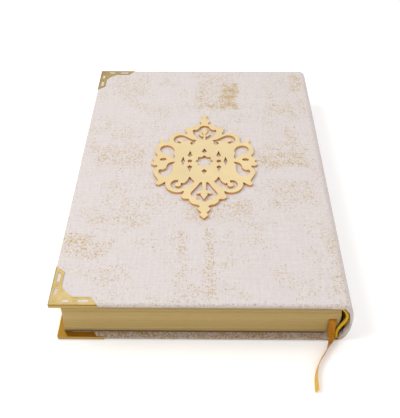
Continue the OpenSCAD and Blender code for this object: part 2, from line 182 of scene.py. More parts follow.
def studio_world():
    """Soft light of a white room: bright overhead and behind the book, dimmer low down and in front."""
    world_data = bpy.data.worlds.new("studio")
    bpy.context.scene.world = world_data
    world_data.use_nodes = True
    tree = world_data.node_tree
    back = tree.nodes["Background"]
    at = tree.nodes.new("ShaderNodeTexCoord")
    parts = tree.nodes.new("ShaderNodeSeparateXYZ")
    tree.links.new(at.outputs["Generated"], parts.inputs[0])

    def ramp(value, low, high, to_low, to_high):
        n = tree.nodes.new("ShaderNodeMapRange")
        n.interpolation_type = "SMOOTHSTEP"
        tree.links.new(value, n.inputs[0])
        for i, v in enumerate((low, high, to_low, to_high)):
            n.inputs[i + 1].default_value = v
        return n.outputs[0]

    up = ramp(parts.outputs[2], -0.05, 0.80, 0.46, 1.16)
    behind = ramp(parts.outputs[1], -0.6, 0.7, 0.84, 1.0)
    left = ramp(parts.outputs[0], -0.55, -0.02, 0.62, 1.0)
    level = up
    for part in (behind, left):
        n = tree.nodes.new("ShaderNodeMath")
        n.operation = "MULTIPLY"
        tree.links.new(level, n.inputs[0])
        tree.links.new(part, n.inputs[1])
        level = n.outputs[0]
    tree.links.new(level, back.inputs["Strength"])
    back.inputs["Color"].default_value = (1.0, 0.995, 0.985, 1)


studio_world()


# ---------------------------------------------------------------- material helpers
class Graph:
    """Short names for building a material's nodes."""

    def __init__(self, name):
        self.mat = bpy.data.materials.new(name)
        self.mat.use_nodes = True
        self.tree = self.mat.node_tree
        self.bsdf = self.tree.nodes["Principled BSDF"]

    def node(self, kind, inputs=None, **settings):
        n = self.tree.nodes.new(kind)
        for k, v in settings.items():
            setattr(n, k, v)
        for k, v in (inputs or {}).items():
            self.put(n.inputs[k], v)
        return n

    def put(self, socket, value):
        if isinstance(value, bpy.types.NodeSocket):
            self.tree.links.new(value, socket)
        else:
            socket.default_value = value

    def math(self, op, a, b=0.0):
        return self.node("ShaderNodeMath", {0: a, 1: b}, operation=op).outputs[0]

    def scale(self, a, by):
        return self.node("ShaderNodeVectorMath", {0: a, 1: by}, operation="MULTIPLY").outputs[0]

    def noise(self, vector, scale, detail, rough, seed):
        inputs = {"Vector": vector, "W": seed, "Scale": scale, "Detail": detail, "Roughness": rough}
        return self.node("ShaderNodeTexNoise", inputs, noise_dimensions="4D").outputs[0]

    def ramp(self, value, low, high, to_low=0.0, to_high=1.0, smooth=True):
        n = self.node("ShaderNodeMapRange", {0: value, 1: low, 2: high, 3: to_low, 4: to_high})
        n.interpolation_type = "SMOOTHSTEP" if smooth else "LINEAR"
        n.clamp = True
        return n.outputs[0]

    def mix(self, amount, a, b):
        n = self.node("ShaderNodeMix", data_type="RGBA")
        self.put(n.inputs[0], amount)
        self.put(n.inputs[6], (*a, 1) if isinstance(a, tuple) else a)
        self.put(n.inputs[7], (*b, 1) if isinstance(b, tuple) else b)
        return n.outputs[2]

    def bump(self, height, distance, strength, under=None):
        n = self.node("ShaderNodeBump", {"Height": height, "Distance": distance, "Strength": strength})
        if under is not None:
            self.put(n.inputs["Normal"], under)
        return n.outputs[0]

    def cloth_uv(self):
        return self.node("ShaderNodeUVMap", uv_map="cloth").outputs[0]

    def attribute(self, name):
        return self.node("ShaderNodeAttribute", attribute_name=name).outputs["Fac"]

    def object_coords(self):
        return self.node("ShaderNodeTexCoord").outputs["Object"]

    def object_normal(self):
        return self.node("ShaderNodeTexCoord").outputs["Normal"]

    def split(self, vector):
        n = self.node("ShaderNodeSeparateXYZ", {0: vector})
        return n.outputs[0], n.outputs[1], n.outputs[2]

    def join(self, x, y, z):
        return self.node("ShaderNodeCombineXYZ", {0: x, 1: y, 2: z}).outputs[0]

    def finish(self, **sockets):
        for k, v in sockets.items():
            name = k.replace("_", " ")
            self.put(self.bsdf.inputs[name], (*v, 1) if isinstance(v, tuple) and len(v) == 3 else v)
        return self.mat


# ---------------------------------------------------------------- materials
def cloth_material(name, seed, field):
    """Fine woven cloth with a worn gold print, denser where the mesh's print attribute is higher."""
    g = Graph(name)
    uv = g.cloth_uv()
    u, v, _ = g.split(uv)
    # weave: two thread directions with uneven threads
    pitch = 2 * math.pi / WEAVE_PITCH
    wob = g.math("MULTIPLY", g.math("SUBTRACT", g.noise(uv, 700, 1.0, 0.5, seed), 0.5), 2.2)
    warp = g.math("SINE", g.math("ADD", g.math("MULTIPLY", u, pitch), wob))
    weft = g.math("SINE", g.math("ADD", g.math("MULTIPLY", v, pitch), wob))
    weave = g.math("MULTIPLY", g.math("ADD", warp, weft), 0.5)
    slub_v = g.noise(g.scale(uv, (950, 45, 1)), 1.0, 2.0, 0.6, seed + 1)
    slub_u = g.noise(g.scale(uv, (45, 950, 1)), 1.0, 2.0, 0.6, seed + 2)
    slub = g.math("MULTIPLY", g.math("ADD", slub_v, slub_u), 0.5)
    mottle = g.noise(uv, 420, 3.0, 0.65, seed + 3)
    tone = g.math("ADD", g.math("MULTIPLY", slub, 0.6), g.math("MULTIPLY", mottle, 0.4))
    tone = g.math("ADD", tone, g.math("MULTIPLY", weave, 0.035))
    base = g.mix(g.ramp(tone, 0.34, 0.66), (0.640, 0.576, 0.562), (0.728, 0.671, 0.661))
    # wear and painted shade: the cut ends and the turned-in cloth darken by this attribute
    wear_and_shade_amount = g.attribute("wear_and_shade")
    wear_and_shade_amount = g.math("MULTIPLY", wear_and_shade_amount, g.ramp(mottle, 0.3, 0.7, 0.8, 1.0))
    base = g.mix(wear_and_shade_amount, base, (0.400, 0.325, 0.290))
    # where the print is dense: patches with ragged outlines over a sparse field
    patch = g.attribute("print")
    ragged = g.noise(uv, 150, 4.0, 0.65, seed + 5)
    patch = g.math("MULTIPLY", patch, g.ramp(ragged, 0.30, 0.62, 0.45, 1.20, False))
    density = g.ramp(g.noise(g.scale(uv, (45, 65, 1)), 1.0, 4.0, 0.6, seed + 4), 0.36, 0.66, 0.05, field)
    density = g.math("MAXIMUM", density, patch)
    # flecks follow the threads, upright or level
    tall = g.noise(g.scale(uv, (1050, 480, 1)), 1.0, 3.0, 0.60, seed + 6)
    wide = g.noise(g.scale(uv, (500, 1050, 1)), 1.0, 3.0, 0.60, seed + 7)
    fleck = g.math("MAXIMUM", tall, wide)
    fleck = g.math("ADD", fleck, g.math("MULTIPLY", density, 0.185))
    fleck = g.math("ADD", fleck, g.math("MULTIPLY", weave, 0.012))
    gold = g.ramp(fleck, 0.655, 0.735)
    gold = g.math("MULTIPLY", gold, g.ramp(density, 0.0, 0.30, 0.45, 1.0))
    print_tone = g.mix(g.ramp(mottle, 0.35, 0.65), (0.47, 0.325, 0.13), (0.62, 0.465, 0.235))
    # the print darkens with the same wear and painted shade
    print_tone = g.mix(g.math("MULTIPLY", wear_and_shade_amount, 0.9), print_tone, (0.215, 0.120, 0.024))
    colour = g.mix(g.math("MULTIPLY", gold, 0.92), base, print_tone)
    rough = g.ramp(gold, 0.0, 1.0, 0.82, 0.48)
    normal = g.bump(weave, 0.00008, 0.6)
    normal = g.bump(slub, 0.00020, 0.6, normal)
    normal = g.bump(gold, 0.00004, 0.4, normal)
    metallic = g.math("MULTIPLY", gold, 0.2)
    return g.finish(Base_Color=colour, Roughness=rough, Metallic=metallic, Normal=normal,
                    Specular_IOR_Level=0.3)


def page_material(name, seed, page_low, page_high, cut_low, cut_high):
    """Leaf faces with tinted, finely lined edges where the leaves are cut."""
    g = Graph(name)
    at = g.object_coords()
    x, y, z = g.split(at)

    def stretched(flat_scale, upright_scale):
        """Coordinates that squeeze a noise into lines along the leaves."""
        parts = [g.math("MULTIPLY", value, scale)
                 for value, scale in ((x, flat_scale), (y, flat_scale), (z, upright_scale))]
        return g.join(*parts)

    face = g.math("ABSOLUTE", g.split(g.object_normal())[2])
    flat = g.ramp(face, 0.6, 0.8)
    leaf = g.math("FLOOR", g.math("MULTIPLY", z, 1 / (SECTION_T / LEAVES_IN_SECTION * MM)))
    tone = g.node("ShaderNodeTexWhiteNoise", {"W": leaf}, noise_dimensions="1D").outputs[0]
    bands = g.noise(stretched(3, 1300), 1.0, 2.0, 0.6, seed)
    rub = g.noise(stretched(160, 2600), 1.0, 3.0, 0.6, seed + 1)
    line = g.math("ADD", g.math("MULTIPLY", tone, 0.30), g.math("MULTIPLY", bands, 0.45))
    line = g.math("ADD", line, g.math("MULTIPLY", rub, 0.35))
    cut = g.mix(g.ramp(line, 0.25, 0.85), cut_low, cut_high)
    fibre = g.noise(at, 700, 4.0, 0.6, seed + 2)
    page = g.mix(fibre, page_low, page_high)
    half = (HEAD_Y - TAIL_Y) / 2 * MM
    rim = g.ramp(g.math("ABSOLUTE", y), half - 0.0009, half - 0.0003)
    page = g.mix(g.math("MULTIPLY", rim, 0.85), page, cut_low)
    colour = g.mix(flat, cut, page)
    rough = g.ramp(flat, 0, 1, 0.5, 0.75)
    normal = g.bump(line, 0.00004, 0.5)
    return g.finish(Base_Color=colour, Roughness=rough, Normal=normal, Specular_IOR_Level=0.2)


def pasted_material(name):
    """Endpaper glued down on the cover, with a near-black brown band along its head and tail that is painted
    shadow of the gap under the leaves.
    """
    g = Graph(name)
    at = g.object_coords()
    y = g.math("ABSOLUTE", g.split(at)[1])
    fibre = g.noise(at, 900, 5.0, 0.65, 3.0)
    half = (COVER_L / 2 - 4) * MM
    # painted shadow: within about 2 mm of its head and tail the face darkens to near-black brown, with a
    # ragged edge
    ragged = g.math("ADD", y, g.math("MULTIPLY", fibre, 0.0006))
    rim = g.ramp(ragged, half - 0.0022, half - 0.0004)
    face = g.mix(g.ramp(fibre, 0.3, 0.7), (0.60, 0.53, 0.43), (0.69, 0.62, 0.52))
    colour = g.mix(rim, face, (0.16, 0.105, 0.055))
    return g.finish(Base_Color=colour, Roughness=0.85, Normal=g.bump(fibre, 0.00004, 0.4))


def paper_material(name, low, high, scale, rough=0.8):
    """Plain fibrous board or paper with a cloudy tone."""
    g = Graph(name)
    at = g.object_coords()
    fibre = g.noise(at, scale, 5.0, 0.65, 3.0)
    cloud = g.noise(at, scale / 30, 2.0, 0.5, 4.0)
    amount = g.math("ADD", g.math("MULTIPLY", fibre, 0.6), g.math("MULTIPLY", cloud, 0.4))
    colour = g.mix(g.ramp(amount, 0.3, 0.7), low, high)
    finish = g.ramp(fibre, 0, 1, rough, rough + 0.1)
    return g.finish(Base_Color=colour, Roughness=finish, Normal=g.bump(fibre, 0.00004, 0.4))


def linen_material(name):
    """Open weave of the gauze and the sewing thread."""
    g = Graph(name)
    _, y, z = g.split(g.object_coords())
    k = 2 * math.pi / LINEN_PITCH
    threads = [g.math("SINE", g.math("MULTIPLY", value, k)) for value in (y, z)]
    weave = g.math("MULTIPLY", *threads)
    colour = g.mix(g.ramp(weave, -1, 1), (0.52, 0.49, 0.43), (0.74, 0.72, 0.66))
    return g.finish(Base_Color=colour, Roughness=0.85, Normal=g.bump(weave, 0.0001, 0.6))


def satin_material(name, dark, light):
    """Ribbon satin: fine lengthwise threads with a soft sheen, painted lighter and yellower towards the
    ribbon's end as painted light, where it lies facing up.
    UV runs across and along the ribbon."""
    g = Graph(name)
    uv = g.cloth_uv()
    u, v, _ = g.split(uv)
    thread = g.math("SINE", g.math("MULTIPLY", u, 2 * math.pi / SATIN_THREAD))
    weft = g.math("SINE", g.math("MULTIPLY", v, 2 * math.pi / SATIN_WEFT))
    shade = g.noise(g.scale(uv, (2500, 130, 1)), 1.0, 3.0, 0.6, 5.0)
    amount = g.math("ADD", g.math("MULTIPLY", thread, 0.12), shade)
    kept = g.mix(g.ramp(amount, 0.25, 0.8), dark, light)
    # painted light: the end that lies facing up on the table is coloured lighter and yellower
    painted_light_end = g.mix(g.ramp(amount, 0.25, 0.8), (0.66, 0.36, 0.035), (1.0, 0.70, 0.17))
    colour = g.mix(g.ramp(v, 0.012, 0.062), kept, painted_light_end)
    height = g.math("ADD", thread, g.math("MULTIPLY", weft, 0.5))
    rough = g.ramp(shade, 0.2, 0.8, 0.30, 0.45)
    return g.finish(Base_Color=colour, Roughness=rough, Normal=g.bump(height, 0.00003, 0.5),
                    Specular_IOR_Level=0.15, Metallic=0.2)


def silk_material(name, dark, light):
    """Wound silk of the bands: turns of thread across the bead, in UV."""
    g = Graph(name)
    uv = g.cloth_uv()
    _, v, _ = g.split(uv)
    turn = g.math("SINE", g.math("MULTIPLY", v, 2 * math.pi / (SILK_TURN * MM)))
    thread = g.math("SINE", g.math("MULTIPLY", v, 2 * math.pi / SILK_THREAD))
    fuzz = g.noise(uv, 3000, 2.0, 0.6, 6.0)
    colour = g.mix(g.ramp(g.math("ADD", turn, g.math("MULTIPLY", fuzz, 0.8)), -0.7, 1.5), dark, light)
    normal = g.bump(g.math("ADD", thread, fuzz), 0.00004, 0.5)
    return g.finish(Base_Color=colour, Roughness=0.5, Normal=normal, Specular_IOR_Level=0.2)


def metal_material(name, face, side, rough, brush, seed, metallic=1.0, wave=0.0):
    """Gold-coloured metal: fine brushing on the faces, warmer and darker on cut edges, faint tarnish.
    wave is the depth of its shallow dents, in metres."""

    def tint(by):
        return tuple(min(1, c * by) for c in face)

    g = Graph(name)
    at = g.object_coords()
    up = g.math("ABSOLUTE", g.split(g.object_normal())[2])
    flat = g.ramp(up, 0.25, 0.85)
    lines = g.noise(g.scale(at, (300, 5200, 5200)), 1.0, 3.0, 0.6, seed)
    cloud = g.noise(at, 55, 3.0, 0.55, seed + 1)
    speck = g.ramp(g.noise(at, 2600, 1.0, 0.5, seed + 2), 0.72, 0.80)
    tone = g.math("ADD", g.math("MULTIPLY", lines, 0.4), g.math("MULTIPLY", cloud, 0.6))
    bright = g.mix(g.ramp(tone, 0.3, 0.72), tint(0.90), tint(1.06))
    bright = g.mix(g.math("MULTIPLY", speck, 0.35), bright, tint(0.55))
    colour = g.mix(flat, side, bright)
    finish = g.ramp(tone, 0.3, 0.7, rough, rough + 0.10)
    normal = g.bump(lines, 0.00002, brush)
    if wave:
        normal = g.bump(g.noise(at, 130, 1.0, 0.5, seed + 3), wave, 0.6, normal)
    return g.finish(Base_Color=colour, Metallic=metallic, Roughness=finish, Normal=normal)


# denser areas of print: centre along and across the cloth, half width, half height and
# softness, all in mm, and weight
FRONT_PATCHES = [
    (99, 216, 18, 28, 4, 0.62), (88, 216, 7, 16, 5, 0.80), (110, 210, 8, 19, 4, 1.10),
    (98, 196, 16, 7, 5, 0.85), (153, 212, 15, 34, 1.5, 0.50), (165, 230, 6, 14, 4, 0.82),
    (150, 190, 12, 12, 5, 0.66), (167, 198, 6, 12, 4, 0.66), (26, 225, 20, 18, 7, 0.60),
    (43, 212, 6, 6, 4, 0.56), (6, 206, 8, 12, 6, 0.40), (20, 173, 9, 5, 3, 0.62),
    (28, 133, 20, 14, 5, 0.70), (26, 158, 10, 7, 4, 0.58), (48, 160, 12, 22, 10, 0.40),
    (146, 130, 19, 10, 5, 0.82), (155, 156, 6, 14, 2, 0.68), (150, 144, 18, 7, 4, 0.62),
    (116, 172, 6, 14, 5, 0.55), (20, 116, 16, 6, 6, 0.45), (44, 84, 26, 10, 6, 0.55),
    (36, 68, 22, 7, 4, 0.66), (14, 78, 10, 10, 6, 0.45), (96, 74, 22, 9, 6, 0.66),
    (112, 80, 10, 8, 4, 0.75), (8, 47, 12, 11, 4, 0.80), (22, 42, 12, 8, 3, 0.68),
    (58, 46, 8, 8, 6, 0.45), (76, 32, 4, 28, 1.5, 0.62), (93, 32, 4, 30, 1.5, 0.70),
    (107, 44, 3, 16, 2, 0.55), (100, 16, 4, 14, 2, 0.45), (150, 94, 20, 15, 8, 0.62),
    (170, 30, 5, 34, 3, 0.62), (160, 10, 12, 6, 4, 0.45), (45, 12, 16, 5, 5, 0.45),
    (90, 0, 90, 2, 1.2, 0.62), (-2, 124, 4, 124, 2, 0.50), (174, 124, 5, 124, 3, 0.42),
    (90, -6, 90, 5, 2, 0.92),
]
BACK_PATCHES = [
    (-85, 1, 95, 5, 2, 0.90), (-85, 246, 95, 5, 2, 0.85), (-3, 124, 4, 124, 2, 0.8),
    (75, 190, 36, 38, 9, 0.75), (142, 55, 24, 35, 6, 0.80), (35, 50, 26, 30, 8, 0.70),
    (130, 160, 26, 16, 8, 0.60), (90, -4, 90, 8, 2, 0.98), (90, 3, 90, 3, 2, 0.90),
]
cloth_front = cloth_material("cloth_front", 11.0, 0.60)
cloth_back = cloth_material("cloth_back", 31.0, 0.70)
pages = page_material("pages", 7.0, (0.800, 0.735, 0.615), (0.860, 0.805, 0.700),
                      (0.468, 0.320, 0.102), (0.695, 0.518, 0.218))
# the endpaper's darker tan and dark cut colours are partly the paper's own tone and partly painted shade
# along the leaves' tail
endpaper = page_material("endpaper", 9.0, (0.62, 0.55, 0.45), (0.70, 0.63, 0.53),
                         (0.26, 0.155, 0.045), (0.40, 0.26, 0.09))
pasted = pasted_material("pasted")
greyboard = paper_material("greyboard", (0.25, 0.22, 0.18), (0.42, 0.38, 0.33), 600)
kraft = paper_material("kraft", (0.30, 0.20, 0.11), (0.42, 0.30, 0.18), 700)
linen = linen_material("linen")
satin = satin_material("satin", (0.33, 0.105, 0.002), (0.64, 0.275, 0.016))
silk = silk_material("silk", (0.56, 0.310, 0.006), (0.93, 0.585, 0.026))
medal_gold = metal_material("medal_gold", (0.850, 0.680, 0.390), (0.74, 0.42, 0.14), 0.34, 0.25, 17.0,
                            metallic=0.85)
corner_gold = metal_material("corner_gold", (0.760, 0.575, 0.250), (0.400, 0.260, 0.070), 0.14, 0.12, 23.0,
                             wave=0.0009)
# painted shade: a darker copy of the corner gold, for the front head corner
corner_painted_shade = metal_material("corner_painted_shade", (0.540, 0.390, 0.150), (0.360, 0.235, 0.062), 0.17, 0.12, 25.0,
                             wave=0.0009)
# painted shade: dark brown metal on the rounded folds and eased edges of the corners, for the dark lines
# along them
fold_painted_shade = metal_material("fold_painted_shade", (0.230, 0.140, 0.036), (0.200, 0.115, 0.028), 0.22, 0.12, 27.0,
                           wave=0.0006)
# painted reflection: a darker, deep amber copy of the corner gold for the back corners, for the dark
# underside of the front cover that they reflect
corner_painted_reflection = metal_material("corner_painted_reflection", (0.450, 0.245, 0.034), (0.42, 0.25, 0.052), 0.16, 0.12, 29.0,
                              wave=0.0010)


# ---------------------------------------------------------------- mesh helpers
def new_object(name, verts, faces, material, uvs=None, smooth=True, sharp=40):
    """A mesh object, with creases sharper than sharp degrees kept hard.
    uvs holds one (u, v) for each corner of each face."""
    mesh = bpy.data.meshes.new(name)
    mesh.from_pydata([tuple(v) for v in verts], [], faces)
    if uvs is not None:
        layer = mesh.uv_layers.new(name="cloth")
        i = 0
        for face_uvs in uvs:
            for uv in face_uvs:
                layer.data[i].uv = uv
                i += 1
    mesh.validate()
    bm = bmesh.new()
    bm.from_mesh(mesh)
    bmesh.ops.recalc_face_normals(bm, faces=bm.faces)
    for f in bm.faces:
        f.smooth = smooth
    limit = math.radians(sharp)
    for e in bm.edges:
        if len(e.link_faces) == 2 and e.calc_face_angle(0) > limit:
            e.smooth = False
    bm.to_mesh(mesh)
    bm.free()
    mesh.materials.append(material)
    obj = bpy.data.objects.new(name, mesh)
    bpy.context.scene.collection.objects.link(obj)
    return obj


def loft(name, rings, material, uv_rings=None, sharp=50, cap_uv=None):
    """Joins closed rings of equal length into one skin with a face at each end.
    A ring of UVs has one value more than its ring of points, for the far side of the seam."""
    n = len(rings[0])
    verts = [p for r in rings for p in r]
    faces, uvs = [], []
    for i in range(len(rings) - 1):
        for j in range(n):
            k = (j + 1) % n
            faces.append((i * n + j, i * n + k, (i + 1) * n + k, (i + 1) * n + j))
            if uv_rings:
                a, b = uv_rings[i], uv_rings[i + 1]
                uvs.append([a[j], a[j + 1], b[j + 1], b[j]])
    for i, order in ((0, range(n - 1, -1, -1)), (len(rings) - 1, range(n))):
        faces.append(tuple(i * n + j for j in order))
        if uv_rings:
            uvs.append([cap_uv(rings[i][j]) if cap_uv else uv_rings[i][j] for j in order])
    return new_object(name, verts, faces, material, uvs if uv_rings else None, sharp=sharp)


def finish_piece(obj, body, slot, *nodes):
    """Attaches the piece to its body and hides the CAD nodes that it replaces. Its material slot is not
    used.
    """
    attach(obj, body)
    if nodes:
        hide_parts(*nodes)


# ---------------------------------------------------------------- ribbon marker (cord)
def curve_at(a, b, c, d, t):
    """Point at t of the smooth curve from b to c, with a before and d after them."""
    square = 2 * a - 5 * b + 4 * c - d
    cube = 3 * b - a - 3 * c + d
    return (2 * b + (c - a) * t + square * t * t + cube * t ** 3) * 0.5


def smooth_run(points, steps):
    """A smooth curve through the points, with steps pieces between one and the next."""
    n = len(points)
    out = []
    for i in range(n - 1):
        before, after = points[max(i - 1, 0)], points[min(i + 2, n - 1)]
        out += [curve_at(before, points[i], points[i + 1], after, s / steps) for s in range(steps)]
    return out + [points[-1]]


RIBBON_W = 4.4
RIBBON_T = 0.3
RIBBON_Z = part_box("section_10")[0][2] / MM
RIBBON_X = BLOCK_SPINE - 4.7
RIBBON_ROUTE = [
    (RIBBON_X, TAIL_Y, RIBBON_Z + RIBBON_T / 2),
    (RIBBON_X, TAIL_Y - 1.1, RIBBON_Z - 0.6),
    (RIBBON_X, TAIL_Y - 1.6, RIBBON_Z - 3.6),
    (RIBBON_X, TAIL_Y - 1.9, RIBBON_Z - 7.6),
    (RIBBON_X + 0.1, TAIL_Y - 2.9, RIBBON_Z - 11.4),
    (RIBBON_X + 0.1, -0.2, 3.9),
    (RIBBON_X, -1.6, 2.5),
    (RIBBON_X - 0.9, -3.6, 1.8),
    (RIBBON_X - 2.6, -6.8, 1.9),
    (RIBBON_X - 5.4, -11.1, 2.4),
    (RIBBON_X - 7.3, -13.9, 2.4),
    (RIBBON_X - 9.2, -17.1, 2.35),
    (RIBBON_X - 10.7, -20.8, 2.2),
    (RIBBON_X - 11.8, -25.2, 2),
    (RIBBON_X - 12.2, -30, 1.8),
    (RIBBON_X - 12.3, -34.6, 1.7),
]
# how far the ribbon has turned about its own line at each of those points, in degrees
RIBBON_TURN = [0, 0, 4, 16, 30, 46, 58, 66, 77, 86, 90, 86, 80, 74, 68, 62]
# its section: place across it, and which face
RIBBON_SECTION = [(-1, 0), (-0.94, 1), (-0.5, 1), (0, 1), (0.5, 1), (0.94, 1), (1, 0), (0.94, -1), (0.5, -1),
                  (0, -1), (-0.5, -1), (-0.94, -1)]
# how hollow it is across, in mm, over how many rings its cut end narrows, and its height when it
# lies on the table, in metres
CUP = 0.10
TAPER_RINGS = 3
ON_TABLE = 0.00001


def ribbon():
    """The ribbon's free end: it hangs from the leaves, turns on edge and lies out over the table."""
    steps = 5
    line = smooth_run([Vector(p) for p in RIBBON_ROUTE], steps)
    turn = smooth_run([float(a) for a in RIBBON_TURN], steps)
    n = len(line)
    rings, uvs, path = [], [], []
    run = 0.0
    for i in range(n):
        if i:
            run += (line[i] - line[i - 1]).length
        t = (line[min(i + 1, n - 1)] - line[max(i - 1, 0)]).normalized()
        u = (Vector((1, 0, 0)) - t * t.x).normalized()
        v = t.cross(u)
        a = math.radians(turn[i])
        w = u * math.cos(a) + v * math.sin(a)
        m = t.cross(w)
        to_end = (n - 1 - i) / TAPER_RINGS
        half = RIBBON_W / 2 * (0.72 + 0.4 * to_end if to_end < 0.7 else 1)
        cup = CUP * math.sin(run * 0.4)
        ring = []
        for c, s in RIBBON_SECTION:
            p = line[i] + w * (c * half) + m * (s * RIBBON_T * 0.42 + cup * (1 - c * c))
            ring.append(world(*p))
        # where it reaches the table it rests on its lower edge
        lift = Vector((0, 0, max(0, ON_TABLE - min(p.z for p in ring))))
        rings.append([p + lift for p in ring])
        path.append(world(*line[i]) + lift)
        uvs.append([((c * half + (4.5 if s < 0 else 0)) * MM, run * MM)
                    for c, s in RIBBON_SECTION + RIBBON_SECTION[:1]])
    obj = loft("ribbon_marker", rings, satin, uvs)
    finish_piece(obj, "text_block", "ribbon_satin", "ribbon_tail")


ribbon()


# ---------------------------------------------------------------- covers' cloth
# length of the rounded end at head and tail, and the rings in it
END = 0.9
END_STEPS = 5
# rings close to an end, where the fold of the cloth shows
NEAR_END = [0.2, 0.45, 0.75, 1.1, 1.6, 2.0, 2.5, 3.1, 4.2, 5.2, 6.0, 6.7]
# outline: steps round half of the spine and along the face, and radii at the fore-edge, out and in
WRAP_STEPS = 30
PROFILE_STEP = 1.7
FACE_R = 0.9
INNER_R = 0.5
TURNED_T = 0.19
# u at the middle of the spine, so that u is close to x over the board
SEAM_U = TOTAL_W + 14
# thickness of the folded end of the cloth, by distance from the board at the back joint and by
# angle round the spine
BACK_JOINT_END = [(0, SQUARE_T), (4.6, SQUARE_T), (6.2, 1.2), (7, 1.1)]
BACK_SPINE_END = [(0, 1.56), (12, 1.65), (30, 2.9), (56, 3.3), (74, 2.4), (90, 1.1)]
FRONT_SPINE_END = [(0, 1.56), (12, 1.65), (30, 2.2), (56, 2.9), (90, SQUARE_T)]
# how much further in from the end the fold reaches at the back joint and beside it, by x
BACK_JOINT_DEPTH = [(168.2, 5.2), (169.8, 0), (171.4, 0), (175, 1.6)]


def stepped(x, table):
    """Value at x of a line through the table's points."""
    for (a, va), (b, vb) in zip(table, table[1:]):
        if x <= b:
            return va + (vb - va) * max(x - a, 0) / (b - a)
    return table[-1][1]


def case_profile(back):
    """Closed outline of the cloth over one board, its joint and half of the spine, as on the front.
    Each point is (x, z, edge radius at head and tail, extra thickness of the folded end, u on the cloth)."""
    pts = []
    panel_in = CLOTH_T + PANEL_T - 0.05
    # outside: half of the spine, the joint and the board's face, rounded at the fore-edge
    for i in range(WRAP_STEPS + 1):
        pts.append((*wrap(0, 90 * i / WRAP_STEPS), 0.6, 0))
    x = COVER_W
    while x > 4:
        x -= PROFILE_STEP
        pts.append((x, TOP, 0.5 if x > BOARD_END else 0.75, 0))
    for a in range(0, 91, 15):
        s, c = math.sin(math.radians(a)), math.cos(math.radians(a))
        pts.append((FACE_R - FACE_R * s, TOP - FACE_R + FACE_R * c, 0.75 - a / 90 * 0.3, 0))
    # inside: the turn-in, the board's edge at the joint, and the spine card from within
    low = TOP - SQUARE_T
    for a in range(0, 91, 30):
        s, c = math.sin(math.radians(a)), math.cos(math.radians(a))
        pts.append((INNER_R - INNER_R * c, low + INNER_R - INNER_R * s, 0.45, 0))
    for x in (4, 14, 40, 80, 120, 150, BOARD_END - 1):
        pts.append((x, low, 0.45, 0))
    pts.append((BOARD_END, low + 0.3, TURNED_T, 0))
    pts.append((BOARD_END, TOP - CLOTH_T - 0.2, TURNED_T, 0))
    for x in (0.02, 0.7, 1.5, 3, 4.6, 5.2, 5.8, 6.4):
        total = stepped(x, BACK_JOINT_END) if back else SQUARE_T
        pts.append((BOARD_END + x, TOP - CLOTH_T, TURNED_T, total - CLOTH_T))
    for i in range(WRAP_STEPS, -1, -1):
        f = 90 * i / WRAP_STEPS
        over = min(max((PANEL_F + 4 - f) / 5, 0), 1)
        depth = CLOTH_T + (panel_in - CLOTH_T) * over
        total = stepped(f, BACK_SPINE_END if back else FRONT_SPINE_END)
        pts.append((*wrap(depth, f), TURNED_T if f > PANEL_F else 0.5, total - depth))
    out = []
    u = SEAM_U
    for i, p in enumerate(pts):
        if i:
            u -= math.hypot(p[0] - pts[i - 1][0], p[1] - pts[i - 1][1])
        out.append((*p, u))
    return out


def ripple(x, y, seed):
    """Slight unevenness of cloth on board, in mm."""
    broad = 0.035 * math.sin(x * 0.11 + seed) * math.cos(y * 0.083 + seed * 2)
    return broad + 0.02 * math.sin(x * 0.31 + y * 0.23)


def print_weight(patches, x, y):
    """How dense the gold print is at a point of the cloth, before the shader breaks it up."""
    weight = 0.0
    for cx, cy, hx, hy, soft, most in patches:
        wave = 2.2 * math.sin(x * 0.21 + cy) * math.cos(y * 0.17 + cx) if soft > 2 else 0
        t = min(max((soft - max(abs(x - cx) - hx, abs(y - cy) - hy) - wave) / (2 * soft), 0), 1)
        weight = max(weight, most * t * t * (3 - 2 * t))
    return weight


def wear_and_shade(x, z, y, inner, back):
    """How dark the cloth is painted: its cut ends at head and tail, part wear and part painted shade, most
    on the back cover, whose edge lies in shade under the front cover and the leaves; and its turned-in side
    under the board and inside the joint, as painted shade.
    """
    end = min(y, COVER_L - y)
    edge = min(max((2.2 - end) / 1.5, 0), 1)
    inside = min(max((TOP - 0.7 - z) / 1.2, 0), 1) if x < BOARD_END else 0
    if inner:
        inside = 0.25 + 0.75 * min(max((end - 0.6) / 1.5, 0), 1)
    return max(edge * ((0.55 if back else 0.30) + 0.40 * inside), 0.85 * inside) * (1.0 if back else 0.75)


def inward_steps(prof):
    """For each point of the outline, the direction into the cloth; straight up inside the joint."""
    n = len(prof)
    area = sum(prof[i][0] * prof[(i + 1) % n][1] - prof[(i + 1) % n][0] * prof[i][1] for i in range(n))
    side = -1 if area > 0 else 1
    inward = []
    for i in range(n):
        a, b = prof[i - 1], prof[(i + 1) % n]
        d = Vector((b[0] - a[0], b[1] - a[1])).normalized()
        in_joint = BOARD_END < prof[i][0] < COVER_W and prof[i][1] < TOP
        inward.append((0, 1) if in_joint else (side * d.y, -side * d.x))
    return inward


def cloth_stations():
    """Places along the cover: its rounded tail end, the length between the ends, and its head end."""
    reach = COVER_L - 2 * END
    middle = [7.5 + (reach - 15) * k / 132 for k in range(133)]
    along = [0] + NEAR_END + middle + [reach - y for y in reversed(NEAR_END)] + [reach]
    tail = [("tail", k) for k in range(END_STEPS)]
    head = [("head", k) for k in range(END_STEPS - 1, -1, -1)]
    return tail + [("mid", y / reach) for y in along] + head


